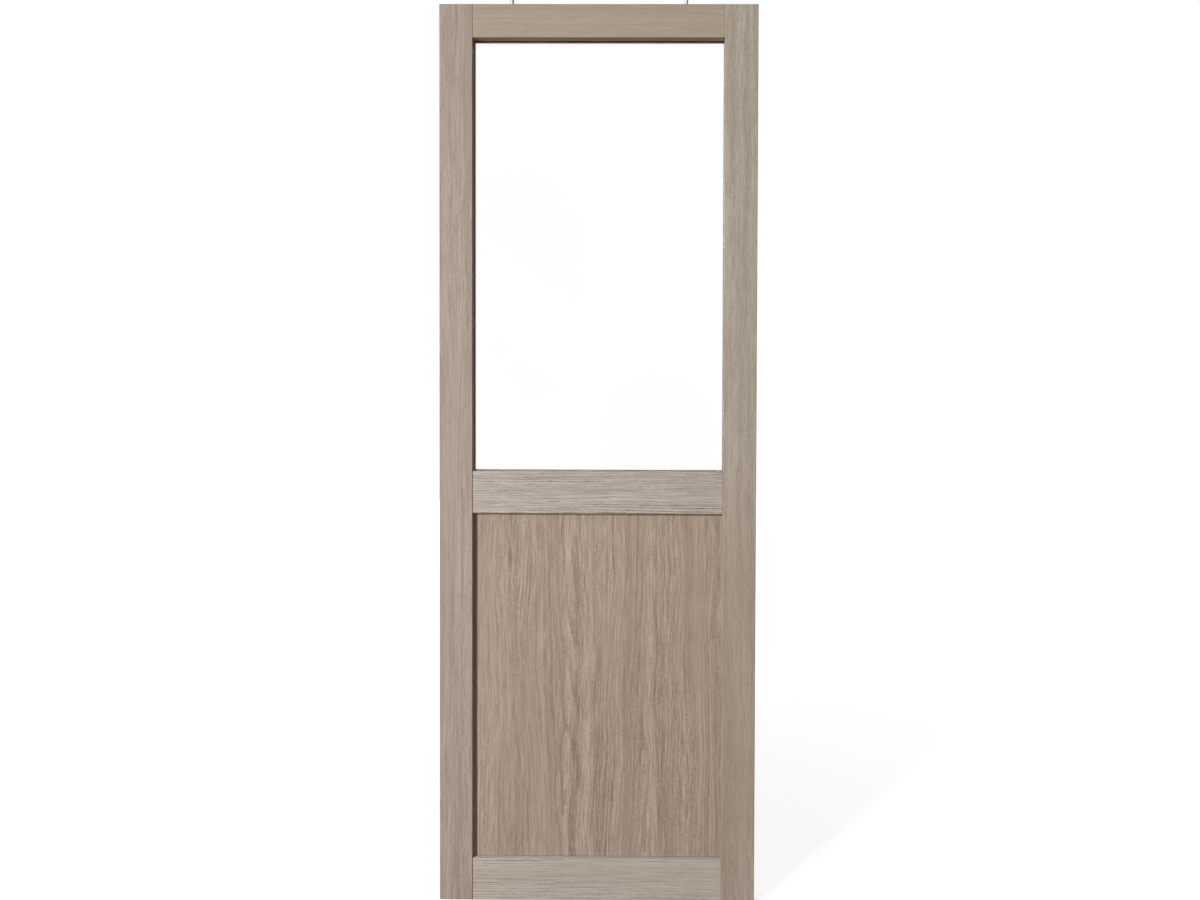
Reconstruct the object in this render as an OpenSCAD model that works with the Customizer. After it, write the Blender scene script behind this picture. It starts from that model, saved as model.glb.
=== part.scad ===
// Glazed sliding door: a framed oak leaf with a glass pane above and a flat wood panel below.
// It hangs from two four-wheel trolleys in a ceiling track and is steadied by a floor guide.
// X is the sliding direction, the front face looks to -Y, Z is up, and the origin is on the floor
// at the centre of the floor guide. The leaf is drawn closed, at the -X end of its travel.

/* [Leaf] */
// Width of the door leaf
leaf_w = 720; // [600:2:1100]
// Height of the door leaf
leaf_h = 2040; // [1900:10:2400]
// Thickness of the door leaf
leaf_t = 40; // [36:1:54]
// Width of each stile
stile_w = 75; // [60:1:130]
// Height of the top rail
top_rail_h = 75; // [70:1:120]
// Height of the glazed opening between the top rail and the middle rail
glazed_h = 980; // [500:5:1200]
// Height of the middle rail
mid_rail_h = 96; // [84:1:160]
// Height of the bottom rail
bottom_rail_h = 96; // [88:1:200]
// Ease planed along the face edges of the stiles and rails
arris = 1; // [0.5:0.1:2]

/* [Lower panel] */
// Thickness of the lower panel
panel_t = 16; // [10:1:20]
// Depth of the groove that holds the panel
groove_depth = 12; // [8:1:16]
// Room left in the groove for the panel to swell, at its sides and top
panel_room = 2; // [1:0.5:4]
// Slip fit between each panel face and the groove
panel_fit = 0.15; // [0.05:0.05:0.4]

/* [Glazing] */
// Thickness of the front lip that the glass lies against
lip_t = 22; // [12:0.5:24]
// Thickness of the glass pane
glass_t = 6; // [4:1:10]
// Width of the rebate that the glass and its beads sit in
rebate_w = 12; // [10:1:16]
// Room round the edge of the glass, which is also the height of the setting blocks
glass_room = 3; // [2:0.5:5]
// Thickness of each glazing tape
tape_t = 1.5; // [0.5:0.5:2.5]
// Distance from the edge of the opening back to the glazing tape
tape_inset = 1; // [0.5:0.5:3]
// Slope planed off the inner edge of each glazing bead
bead_slope = 2; // [1:0.5:4]
// Length of each setting block
block_l = 80; // [40:5:120]
// Distance from the side of the glass to the near end of a setting block
block_inset = 90; // [40:5:150]

/* [Frame joints] */
// Diameter of the dowels that join the rails to the stiles
dowel_d = 10; // [6:1:12]
// Length of the dowels
dowel_l = 70; // [40:2:90]
// Distance between the two dowels of a joint
dowel_pitch = 30; // [24:1:36]
// Glue line round each dowel
dowel_fit = 0.1; // [0.05:0.05:0.3]
// Glue room past each end of a dowel
dowel_end_room = 1; // [0.5:0.5:3]
// Ease turned on the ends of the dowels
dowel_ease = 1.5; // [0.5:0.5:2]

/* [Floor guide] */
// Gap between the floor and the leaf
floor_gap = 8; // [6:1:14]
// Width of the guide groove in the bottom edge of the leaf
guide_groove_w = 9; // [7:0.5:14]
// Depth of the guide groove
guide_groove_depth = 16; // [12:1:22]
// Running clearance between each side of the guide fin and the groove
guide_clear = 0.3; // [0.2:0.1:0.8]
// Room above the guide fin in the groove
guide_top_room = 3; // [1:0.5:6]
// How far the leaf reaches past the middle of the guide at each end of its travel
end_cover = 40; // [26:1:100]
// Length of the guide fin
fin_l = 40; // [26:1:50]
// Lead-in planed along the top edges of the guide fin
fin_lead = 1.5; // [0.5:0.25:2.5]
// Length of the guide base
guide_base_l = 76; // [74:1:110]
// Width of the guide base
guide_base_w = 34; // [22:1:36]
// Thickness of the guide base
guide_base_t = 3; // [2:0.5:4]
// Corners cut off the guide base
guide_corner = 3; // [1:0.5:6]
// Diameter of the screw holes in the guide base
guide_hole_d = 4.5; // [3.5:0.1:5]
// Diameter of the countersinks of those holes
guide_sink_d = 8; // [7:0.2:8.5]
// Distance from the end of the guide base to its screw hole
guide_hole_edge = 9; // [7:0.5:10]

/* [Hangers] */
// Length of a hanger plate
plate_l = 84; // [70:1:120]
// Width of a hanger plate
plate_w = 28; // [24:1:32]
// Thickness of a hanger plate
plate_t = 4; // [3:0.5:6]
// Clearance between a hanger plate and its mortise
plate_fit = 0.2; // [0.1:0.05:0.5]
// Distance along the top edge from a dowel hole to the hanger plate
plate_offset = 9; // [4:1:60]
// Diameter of the hanger screws
screw_d = 4.2; // [3:0.2:5]
// Length of the hanger screws
screw_l = 36; // [20:1:50]
// Diameter of the hanger screw heads
screw_head_d = 8; // [7:0.2:9]
// Distance between the two rows of hanger screws
screw_row = 14; // [12:0.5:15]
// Clearance round a screw in its hole
screw_fit = 0.1; // [0.05:0.05:0.3]
// Diameter of the hanger bolts
bolt_d = 8; // [6:1:9]
// Width across the flats of the bolt heads and lock nuts
hex_af = 13; // [12:0.5:15]
// Height of the bolt heads
bolt_head_h = 5.3; // [4:0.1:7]
// Height of the lock nuts
nut_h = 4; // [3:0.5:6]
// Clearance round a bolt in the plate, the nut and the trolley
bolt_fit = 0.05; // [0.02:0.01:0.1]
// Room round a bolt head in its pocket
head_room = 1; // [0.5:0.25:2]

/* [Trolleys] */
// Diameter of the trolley wheels
wheel_d = 22; // [18:0.5:30]
// Width of the trolley wheels
wheel_w = 6.5; // [5:0.5:10]
// Depth of the dish in each face of a wheel
wheel_dish = 1.2; // [0.5:0.1:1.6]
// Diameter of the wheel hubs
hub_d = 9; // [8:0.5:11]
// Thickness of the wheel rims
rim_t = 2.6; // [1.5:0.1:3]
// Ease on the edges of the wheel treads
tread_ease = 0.6; // [0.2:0.1:1]
// Diameter of the axles
axle_d = 4; // [3:0.5:5]
// Running clearance between an axle and its wheel
axle_fit = 0.05; // [0.02:0.01:0.1]
// Press clearance between an axle and the trolley
axle_seat = 0.02; // [0.01:0.01:0.05]
// Diameter of the axle heads
axle_head_d = 7; // [6:0.2:8]
// Thickness of the axle heads
axle_head_t = 0.8; // [0.5:0.1:1]
// Distance between the two axles of a trolley
axle_pitch = 60; // [54:1:90]
// Height of the trolley bar
bar_h = 13; // [9:0.5:15]
// How far the trolley bar reaches past its wheels
bar_nose = 4; // [2:0.5:10]
// How far each side of the trolley bar stands back from the edge of the slot
bar_set = 0.5; // [0.25:0.05:1]
// Height of the block in the middle of the trolley, which takes the hanger bolt
nut_block_h = 16; // [13:0.5:17]
// Gap between that block and the wheels beside it
nut_block_gap = 5; // [2:0.5:8]
// Ease on the corners of the trolley blocks, stops and buffers
corner_ease = 0.6; // [0.2:0.1:1]
// End play between neighbouring faces on an axle
end_play = 0.3; // [0.2:0.05:0.5]

/* [Track] */
// Gap between the leaf and the track
track_gap = 29; // [14:1:40]
// Width of the slot along the underside of the track
slot_w = 12; // [11:0.5:16]
// Thickness of the side walls of the track
track_wall = 2.5; // [1.5:0.1:4]
// Thickness of the ledges that the wheels run on
ledge_t = 3; // [2:0.25:5]
// Thickness of the top web of the track
web_t = 3; // [2.5:0.25:5]
// Distance from the slot to the inner side of a wheel
wheel_set = 0.9; // [0.5:0.1:2]
// Side room between a wheel and the track wall
wheel_side_room = 2; // [1:0.25:4]
// Running gap drawn between a wheel and its ledge
wheel_seat = 0.2; // [0.1:0.05:0.3]
// Head room above the wheels
head_gap = 6; // [4:0.5:12]
// How far the track runs past the leaf at each end of its travel
track_overrun = 20; // [5:1:100]
// Ease on the outer corners of the track
track_ease = 0.6; // [0.2:0.1:1]
// Diameter of the fixing holes in the web
fixing_d = 5.5; // [4.5:0.1:6.5]
// Diameter of the countersinks of the fixing holes
fixing_sink_d = 10; // [8:0.2:11]
// Depth of the countersinks
fixing_sink_t = 1.6; // [1:0.1:2]
// Distance from the end of the track to the first fixing hole
fixing_end = 41; // [15:1:80]
// Number of pairs of fixing holes
fixing_pairs = 3; // [2:1:5]

/* [Stops] */
// Length of a stop block
stop_l = 32; // [24:1:60]
// Side room between a stop block and the track walls
stop_side_room = 1; // [0.5:0.25:2]
// Room above a stop block
stop_top_room = 6; // [3:0.5:8]
// Diameter of the stop buffers
buffer_d = 11; // [8:0.5:12]
// Length of a stop buffer in front of its block
buffer_l = 9; // [7:0.5:14]
// Diameter of the stem that holds a buffer in its block
buffer_stem_d = 5; // [4:0.5:6]
// Length of the buffer stem
buffer_stem_l = 7; // [4:0.5:9]
// Gap between a trolley and a buffer at the end of the travel
buffer_gap = 0.3; // [0.2:0.1:0.6]
// Diameter of the clamp screws of the stops
clamp_d = 5; // [4:0.5:6]
// Clearance round a clamp screw in its block
clamp_fit = 0.05; // [0.02:0.01:0.1]
// Width across the flats of the key socket in a clamp screw
key_af = 2.5; // [2:0.25:3]
// Depth of the key socket
key_depth = 3; // [2:0.5:4]

/* [Hidden] */
$fn = 64;

// Colours
frame_oak = "#AE9F8E";
panel_oak = "#A6937F";
bead_oak = "#A99884";
beech = "#C9A77C";
clear_glass = [0.85, 0.93, 0.92, 0.35];
tape_brown = "#574839";
zinc = "#A9ADB2";
anodised = "#B9BCBF";
nylon_black = "#2E2F31";
nylon_white = "#E4E2DB";
rubber = "#1E1E1F";

// Leaf frame, measured from the bottom edge and the middle of the leaf
opening_w = leaf_w - 2 * stile_w;
top_z = leaf_h - top_rail_h;
glass_z = top_z - glazed_h;
mid_z = glass_z - mid_rail_h;
panel_h = mid_z - bottom_rail_h;
travel = leaf_w - 2 * end_cover;
leaf_x = -travel / 2;

// Glazing, from the front lip back: tape, glass, tape, and a bead flush with the back of the leaf
glass_y = lip_t + tape_t - leaf_t / 2;
bead_t = leaf_t / 2 - glass_y - glass_t - tape_t;
pocket_w = opening_w + 2 * rebate_w;
pocket_h = glazed_h + 2 * rebate_w;
glass_w = pocket_w - 2 * glass_room;
glass_h = pocket_h - 2 * glass_room;

// Each dowel zone is the full wood of a rail, from the cut below it to the cut above it
dowel_zones = [
    [guide_groove_depth, bottom_rail_h - groove_depth],
    [mid_z + groove_depth, glass_z - rebate_w],
    [top_z + rebate_w, leaf_h]
];
dowel_heights = [
    for (zone = dowel_zones, step = [-1, 1]) (zone[0] + zone[1] + step * dowel_pitch) / 2
];

// Hangers
hanger_inset = stile_w + dowel_l / 2 + dowel_end_room + plate_offset + plate_l / 2;
hanger_x = leaf_w / 2 - hanger_inset;
hex_d = hex_af / cos(30);
hex_face_share = 0.95;
hex_face_d = hex_face_share * hex_af;
head_pocket_d = hex_d + 2 * head_room;
screw_x = (plate_l - plate_w) / 2;
screw_head_h = (screw_head_d - screw_d) / 2;
leaf_top = floor_gap + leaf_h;

// Track section, built out from the slot and the wheels
track_z = leaf_top + track_gap;
wheel_y = slot_w / 2 + wheel_set;
track_inner_w = 2 * (wheel_y + wheel_w + wheel_side_room);
track_w = track_inner_w + 2 * track_wall;
track_inner_h = wheel_seat + wheel_d + head_gap;
track_h = ledge_t + track_inner_h + web_t;
track_l = leaf_w + travel + 2 * track_overrun;
ledge_z = track_z + ledge_t;
web_z = ledge_z + track_inner_h;
axle_z = ledge_z + wheel_seat + wheel_d / 2;
fixing_pitch = (track_l - 2 * fixing_end) / (2 * fixing_pairs - 1);

// Trolley
bar_w = slot_w - 2 * bar_set;
bar_l = axle_pitch + wheel_d + 2 * bar_nose;
nut_block_l = axle_pitch - wheel_d - 2 * nut_block_gap;
nut_block_w = track_inner_w - 2 * wheel_side_room - wheel_w;
hub_y = bar_w / 2 + end_play;
hub_step = wheel_y - hub_y;
axle_head_y = wheel_y + wheel_w - wheel_dish + end_play;

// Stops stand just past the trolleys at both ends of the travel
stop_x = travel / 2 + hanger_x + bar_l / 2 + buffer_gap;
stop_h = track_inner_h - stop_top_room;

// Cuts run this far past the faces that they open
cut = 1;

// Rectangle with its corners cut off at 45 degrees
module eased_rect(w, h, c) {
    polygon([
        [-w / 2 + c, -h / 2], [w / 2 - c, -h / 2],
        [w / 2, -h / 2 + c], [w / 2, h / 2 - c],
        [w / 2 - c, h / 2], [-w / 2 + c, h / 2],
        [-w / 2, h / 2 - c], [-w / 2, -h / 2 + c]
    ]);
}

// Slot-shaped outline with round ends
module stadium(l, w) {
    square([l - w, w], center = true);
    for (end = [-1, 1])
        translate([end * (l - w) / 2, 0])
            circle(d = w);
}

// Planed board that stands on z = 0, with the edges of its two faces eased
module board(w, t, h) {
    intersection() {
        linear_extrude(h)
            eased_rect(w, t, arris);
        translate([-w / 2, 0, h / 2])
            rotate([90, 0, 90])
                linear_extrude(w)
                    eased_rect(t, h, arris);
    }
}

// Places: the closed leaf, one hanger on it, and one trolley
module in_leaf() {
    translate([leaf_x, 0, floor_gap])
        children();
}

module at_hanger(side) {
    translate([leaf_x + side * hanger_x, 0, leaf_top])
        children();
}

module at_trolley(side) {
    translate([leaf_x + side * hanger_x, 0, axle_z])
        children();
}

// Cuts in the leaf frame
module panel_groove() {
    size = [opening_w + 2 * groove_depth, panel_t + 2 * panel_fit, panel_h + 2 * groove_depth];
    translate([-size[0] / 2, -size[1] / 2, bottom_rail_h - groove_depth])
        cube(size);
}

module glass_rebate() {
    translate([-pocket_w / 2, lip_t - leaf_t / 2, glass_z - rebate_w])
        cube([pocket_w, leaf_t - lip_t + cut, pocket_h]);
}

module guide_groove() {
    translate([-leaf_w / 2 - cut, -guide_groove_w / 2, -cut])
        cube([leaf_w + 2 * cut, guide_groove_w, guide_groove_depth + cut]);
}

// Each dowel lies along X, half in a stile and half in a rail
module at_dowels(l) {
    for (side = [-1, 1], z = dowel_heights)
        translate([side * opening_w / 2 - l / 2, 0, z])
            rotate([0, 90, 0])
                children();
}

module dowel_holes() {
    l = dowel_l + 2 * dowel_end_room;
    at_dowels(l)
        cylinder(d = dowel_d + 2 * dowel_fit, h = l);
}

// Mortise, bolt head pocket and screw holes for one hanger, below the top edge at z = 0
module hanger_mortise() {
    pocket_depth = plate_t + bolt_head_h + head_room;
    translate([0, 0, -plate_t])
        linear_extrude(plate_t + cut)
            stadium(plate_l + 2 * plate_fit, plate_w + 2 * plate_fit);
    translate([0, 0, -pocket_depth])
        cylinder(d = head_pocket_d, h = pocket_depth);
    at_hanger_screws()
        translate([0, 0, -screw_l - screw_fit])
            cylinder(d = screw_d + 2 * screw_fit, h = screw_l);
}

module at_hanger_screws() {
    for (x = [-1, 1], y = [-1, 1])
        translate([x * screw_x, y * screw_row / 2, 0])
            children();
}

// Leaf frame
module stile(side) {
    color(frame_oak)
        in_leaf()
            difference() {
                translate([side * (leaf_w - stile_w) / 2, 0, 0])
                    board(stile_w, leaf_t, leaf_h);
                panel_groove();
                glass_rebate();
                guide_groove();
                dowel_holes();
            }
}

module left_stile() {
    stile(-1);
}

module right_stile() {
    stile(1);
}

module top_rail() {
    color(frame_oak)
        in_leaf()
            difference() {
                translate([0, 0, top_z])
                    board(opening_w, leaf_t, top_rail_h);
                glass_rebate();
                dowel_holes();
                for (side = [-1, 1])
                    translate([side * hanger_x, 0, leaf_h])
                        hanger_mortise();
            }
}

module mid_rail() {
    color(frame_oak)
        in_leaf()
            difference() {
                translate([0, 0, mid_z])
                    board(opening_w, leaf_t, mid_rail_h);
                panel_groove();
                glass_rebate();
                dowel_holes();
            }
}

module bottom_rail() {
    color(frame_oak)
        in_leaf()
            difference() {
                board(opening_w, leaf_t, bottom_rail_h);
                panel_groove();
                guide_groove();
                dowel_holes();
            }
}

module rail_dowels() {
    r = dowel_d / 2;
    color(beech)
        in_leaf()
            at_dowels(dowel_l)
                rotate_extrude()
                    polygon([
                        [0, 0], [r - dowel_ease, 0], [r, dowel_ease],
                        [r, dowel_l - dowel_ease], [r - dowel_ease, dowel_l], [0, dowel_l]
                    ]);
}

// The panel stands on the bottom of its groove
module lower_panel() {
    w = opening_w + 2 * (groove_depth - panel_room);
    h = panel_h + 2 * groove_depth - panel_room;
    color(panel_oak)
        in_leaf()
            translate([-w / 2, -panel_t / 2, bottom_rail_h - groove_depth])
                cube([w, panel_t, h]);
}

// Glazing
module glass_pane() {
    color(clear_glass)
        in_leaf()
            translate([-glass_w / 2, glass_y, glass_z - rebate_w + glass_room])
                cube([glass_w, glass_t, glass_h]);
}

module setting_blocks() {
    color(tape_brown)
        in_leaf()
            for (side = [-1, 1])
                translate([
                    side * (glass_w / 2 - block_inset - block_l / 2) - block_l / 2,
                    glass_y,
                    glass_z - rebate_w
                ])
                    cube([block_l, glass_t, glass_room]);
}

module glazing_tape(y) {
    sight_w = opening_w + 2 * tape_inset;
    sight_h = glazed_h + 2 * tape_inset;
    color(tape_brown)
        in_leaf()
            translate([0, y + tape_t, glass_z + glazed_h / 2])
                rotate([90, 0, 0])
                    linear_extrude(tape_t)
                        difference() {
                            square([glass_w, glass_h], center = true);
                            square([sight_w, sight_h], center = true);
                        }
}

module front_glazing_tape() {
    glazing_tape(glass_y - tape_t);
}

module back_glazing_tape() {
    glazing_tape(glass_y + glass_t);
}

// Bead along the bottom of a pocket of width w, mitred at both ends.
// The corner between its back face and the opening is planed off at 45 degrees.
module bead(w) {
    intersection() {
        translate([-w / 2, 0, 0])
            rotate([90, 0, 90])
                linear_extrude(w)
                    polygon([
                        [0, 0], [bead_t, 0],
                        [bead_t, rebate_w - bead_slope],
                        [bead_t - bead_slope, rebate_w], [0, rebate_w]
                    ]);
        translate([0, bead_t, 0])
            rotate([90, 0, 0])
                linear_extrude(bead_t)
                    polygon([
                        [-w / 2, 0], [w / 2, 0],
                        [w / 2 - rebate_w, rebate_w], [-w / 2 + rebate_w, rebate_w]
                    ]);
    }
}

// Bead on one side of the glass pocket: the angle turns the bottom bead about the pocket's centre
module pocket_bead(angle, w, reach) {
    color(bead_oak)
        in_leaf()
            translate([0, leaf_t / 2 - bead_t, glass_z + glazed_h / 2])
                rotate([0, angle, 0])
                    translate([0, 0, -reach / 2])
                        bead(w);
}

module bottom_bead() {
    pocket_bead(0, pocket_w, pocket_h);
}

module left_bead() {
    pocket_bead(90, pocket_h, pocket_w);
}

module top_bead() {
    pocket_bead(180, pocket_w, pocket_h);
}

module right_bead() {
    pocket_bead(270, pocket_h, pocket_w);
}

// Hangers
module hanger_plate(side) {
    color(zinc)
        at_hanger(side)
            difference() {
                translate([0, 0, -plate_t])
                    linear_extrude(plate_t)
                        stadium(plate_l, plate_w);
                translate([0, 0, -plate_t - cut])
                    cylinder(d = bolt_d + 2 * bolt_fit, h = plate_t + 2 * cut);
                at_hanger_screws()
                    screw_hole();
            }
}

module screw_hole() {
    translate([0, 0, -plate_t - cut])
        cylinder(d = screw_d + 2 * screw_fit, h = plate_t + 2 * cut);
    translate([0, 0, -screw_head_h - screw_fit])
        cylinder(
            d1 = screw_d + 2 * screw_fit,
            d2 = screw_head_d + 2 * screw_fit,
            h = screw_head_h + screw_fit
        );
}

module left_hanger_plate() {
    hanger_plate(-1);
}

module right_hanger_plate() {
    hanger_plate(1);
}

// Countersunk screw with its head flush at z = 0
module hanger_screw() {
    point = screw_d;
    rotate_extrude()
        polygon([
            [0, 0], [screw_head_d / 2, 0],
            [screw_d / 2, -screw_head_h], [screw_d / 2, point - screw_l],
            [0, -screw_l]
        ]);
}

module hanger_screws() {
    color(zinc)
        for (side = [-1, 1])
            at_hanger(side)
                at_hanger_screws()
                    hanger_screw();
}

// Hexagon that stands on z = 0, with the corners of its top turned off at 30 degrees
module hexagon(h) {
    reach = hex_d / 2 + cut;
    drop = (reach - hex_face_d / 2) * tan(30);
    intersection() {
        cylinder(d = hex_d, h = h, $fn = 6);
        rotate_extrude()
            polygon([[0, -cut], [reach, -cut], [reach, h - drop], [hex_face_d / 2, h], [0, h]]);
    }
}

// The bolt's head bears on the underside of the plate and its shank screws up into the trolley
module hanger_bolt(side) {
    shank_l = plate_t + axle_z + nut_block_h / 2 - leaf_top;
    color(zinc)
        at_hanger(side)
            translate([0, 0, -plate_t]) {
                mirror([0, 0, 1])
                    hexagon(bolt_head_h);
                cylinder(d = bolt_d, h = shank_l);
            }
}

module left_hanger_bolt() {
    hanger_bolt(-1);
}

module right_hanger_bolt() {
    hanger_bolt(1);
}

module hanger_lock_nuts() {
    color(zinc)
        for (side = [-1, 1])
            at_hanger(side)
                difference() {
                    hexagon(nut_h);
                    translate([0, 0, -cut])
                        cylinder(d = bolt_d + 2 * bolt_fit, h = nut_h + 2 * cut);
                }
}

// Trolleys: a bar with round noses between the wheels, and a block for the bolt in its middle
module trolley(side) {
    color(nylon_black)
        at_trolley(side)
            difference() {
                union() {
                    translate([0, bar_w / 2, 0])
                        rotate([90, 0, 0])
                            linear_extrude(bar_w)
                                stadium(bar_l, bar_h);
                    translate([0, 0, -nut_block_h / 2])
                        linear_extrude(nut_block_h)
                            eased_rect(nut_block_l, nut_block_w, corner_ease);
                }
                translate([0, 0, -nut_block_h / 2 - cut])
                    cylinder(d = bolt_d + 2 * bolt_fit, h = nut_block_h + 2 * cut);
                for (end = [-1, 1])
                    translate([end * axle_pitch / 2, bar_w / 2 + cut, 0])
                        rotate([90, 0, 0])
                            cylinder(d = axle_d + 2 * axle_seat, h = bar_w + 2 * cut);
            }
}

module left_trolley() {
    trolley(-1);
}

module right_trolley() {
    trolley(1);
}

// Axle along Y with a head at each end
module axle() {
    length = 2 * (axle_head_y + axle_head_t);
    translate([0, length / 2, 0])
        rotate([90, 0, 0]) {
            cylinder(d = axle_d, h = length);
            for (z = [0, length - axle_head_t])
                translate([0, 0, z])
                    cylinder(d = axle_head_d, h = axle_head_t);
        }
}

module trolley_axles() {
    color(zinc)
        for (side = [-1, 1], end = [-1, 1])
            at_trolley(side)
                translate([end * axle_pitch / 2, 0, 0])
                    axle();
}

// Wheel turned about z, with its inner face at z = 0 and its hub standing out below it
module wheel() {
    r = wheel_d / 2;
    bore_r = axle_d / 2 + axle_fit;
    outer_web = wheel_w - wheel_dish;
    rotate_extrude()
        polygon([
            [bore_r, -hub_step], [hub_d / 2, -hub_step], [hub_d / 2, wheel_dish],
            [r - rim_t, wheel_dish], [r - rim_t, 0], [r - tread_ease, 0],
            [r, tread_ease], [r, wheel_w - tread_ease], [r - tread_ease, wheel_w],
            [r - rim_t, wheel_w], [r - rim_t, outer_web], [bore_r, outer_web]
        ]);
}

// The two wheels of one axle
module wheel_pair(side, end) {
    color(nylon_white)
        at_trolley(side)
            translate([end * axle_pitch / 2, 0, 0])
                for (turn = [-90, 90])
                    rotate([turn, 0, 0])
                        translate([0, 0, wheel_y])
                            wheel();
}

module left_outer_wheels() {
    wheel_pair(-1, -1);
}

module left_inner_wheels() {
    wheel_pair(-1, 1);
}

module right_inner_wheels() {
    wheel_pair(1, -1);
}

module right_outer_wheels() {
    wheel_pair(1, 1);
}

// Track: a box section with a slot below, and countersunk fixing holes up through its web
module track() {
    color(anodised)
        difference() {
            translate([-track_l / 2, 0, track_z])
                rotate([90, 0, 90])
                    linear_extrude(track_l)
                        track_section();
            for (side = [-1, 1], step = [1:fixing_pairs])
                translate([side * (step - 0.5) * fixing_pitch, 0, web_z])
                    fixing_hole();
        }
}

module track_section() {
    difference() {
        translate([0, track_h / 2])
            eased_rect(track_w, track_h, track_ease);
        translate([-track_inner_w / 2, ledge_t])
            square([track_inner_w, track_inner_h]);
        translate([-slot_w / 2, -cut])
            square([slot_w, ledge_t + 2 * cut]);
    }
}

module fixing_hole() {
    translate([0, 0, -cut])
        cylinder(d = fixing_d, h = web_t + 2 * cut);
    translate([0, 0, -cut])
        cylinder(d = fixing_sink_d, h = cut);
    cylinder(d1 = fixing_sink_d, d2 = fixing_d, h = fixing_sink_t);
}

// Stop block on the ledges, open towards the trolley for the buffer's stem
module stop(side) {
    w = track_inner_w - 2 * stop_side_room;
    color(zinc)
        translate([side * (stop_x + buffer_l + stop_l / 2), 0, ledge_z])
            difference() {
                linear_extrude(stop_h)
                    eased_rect(stop_l, w, corner_ease);
                translate([0, 0, -cut])
                    cylinder(d = clamp_d + 2 * clamp_fit, h = stop_h + 2 * cut);
                translate([-side * stop_l / 2, 0, axle_z - ledge_z])
                    rotate([0, side * 90, 0])
                        translate([0, 0, -cut])
                            cylinder(d = buffer_stem_d + 2 * clamp_fit, h = buffer_stem_l + 2 * cut);
            }
}

module left_stop() {
    stop(-1);
}

module right_stop() {
    stop(1);
}

// Rubber buffers at axle height, one facing each trolley
module stop_buffers() {
    color(rubber)
        for (side = [-1, 1])
            translate([side * stop_x, 0, axle_z])
                rotate([0, side * 90, 0]) {
                    rotate_extrude()
                        polygon([
                            [0, 0], [buffer_d / 2 - corner_ease, 0],
                            [buffer_d / 2, corner_ease], [buffer_d / 2, buffer_l], [0, buffer_l]
                        ]);
                    cylinder(d = buffer_stem_d, h = buffer_l + buffer_stem_l);
                }
}

// Clamp screws that jam the stops between the ledges and the web, turned by a key from below
module stop_screws() {
    color(zinc)
        for (side = [-1, 1])
            translate([side * (stop_x + buffer_l + stop_l / 2), 0, ledge_z])
                difference() {
                    cylinder(d = clamp_d, h = track_inner_h);
                    translate([0, 0, -cut])
                        cylinder(d = key_af / cos(30), h = key_depth + cut, $fn = 6);
                }
}

// Floor guide: a base screwed to the floor, and a fin that runs in the leaf's groove
module floor_guide() {
    fin_t = guide_groove_w - 2 * guide_clear;
    fin_top = floor_gap + guide_groove_depth - guide_top_room;
    hole_x = guide_base_l / 2 - guide_hole_edge;
    sink_t = (guide_sink_d - guide_hole_d) / 2;
    color(nylon_black)
        difference() {
            union() {
                linear_extrude(guide_base_t)
                    eased_rect(guide_base_l, guide_base_w, guide_corner);
                intersection() {
                    linear_extrude(fin_top)
                        stadium(fin_l, fin_t);
                    translate([-fin_l / 2, 0, 0])
                        rotate([90, 0, 90])
                            linear_extrude(fin_l)
                                eased_rect(fin_t, 2 * fin_top, fin_lead);
                }
            }
            for (side = [-1, 1])
                translate([side * hole_x, 0, 0]) {
                    translate([0, 0, -cut])
                        cylinder(d = guide_hole_d, h = guide_base_t + 2 * cut);
                    translate([0, 0, guide_base_t - sink_t])
                        cylinder(d1 = guide_hole_d, d2 = guide_sink_d, h = sink_t);
                    translate([0, 0, guide_base_t])
                        cylinder(d = guide_sink_d, h = cut);
                }
        }
}

left_stile();
right_stile();
top_rail();
mid_rail();
bottom_rail();
lower_panel();
glass_pane();
front_glazing_tape();
back_glazing_tape();
setting_blocks();
top_bead();
bottom_bead();
left_bead();
right_bead();
rail_dowels();
left_hanger_plate();
right_hanger_plate();
hanger_screws();
left_hanger_bolt();
right_hanger_bolt();
hanger_lock_nuts();
left_trolley();
right_trolley();
trolley_axles();
left_outer_wheels();
left_inner_wheels();
right_inner_wheels();
right_outer_wheels();
track();
left_stop();
right_stop();
stop_buffers();
stop_screws();
floor_guide();
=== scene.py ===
# %% [markdown]
# # A glazed sliding door
#
# The door leaf is a frame of pale oak: two stiles, three rails, a clear pane above and a veneered
# panel below. Two small trolleys carry it in an aluminium track. The solids come from the packed
# frame at their real size, in metres, so this lesson only gives each surface the finish that the
# real material has, adds the small things that repeat, and sets up the picture.

# %% Load the frame
import math

import bpy
from mathutils import Euler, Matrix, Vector


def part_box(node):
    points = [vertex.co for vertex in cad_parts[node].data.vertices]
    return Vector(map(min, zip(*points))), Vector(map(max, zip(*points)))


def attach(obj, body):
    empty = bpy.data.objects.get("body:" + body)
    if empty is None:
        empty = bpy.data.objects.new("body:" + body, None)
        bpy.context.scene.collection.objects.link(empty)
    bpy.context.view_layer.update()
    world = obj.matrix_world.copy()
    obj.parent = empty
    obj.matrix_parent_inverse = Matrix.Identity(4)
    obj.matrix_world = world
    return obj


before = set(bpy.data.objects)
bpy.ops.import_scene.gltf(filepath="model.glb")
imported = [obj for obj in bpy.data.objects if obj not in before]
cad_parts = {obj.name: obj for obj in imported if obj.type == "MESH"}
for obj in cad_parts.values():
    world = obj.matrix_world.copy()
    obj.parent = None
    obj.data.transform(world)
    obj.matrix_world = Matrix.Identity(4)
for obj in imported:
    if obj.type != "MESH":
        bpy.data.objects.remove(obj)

MM = 0.001

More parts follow.
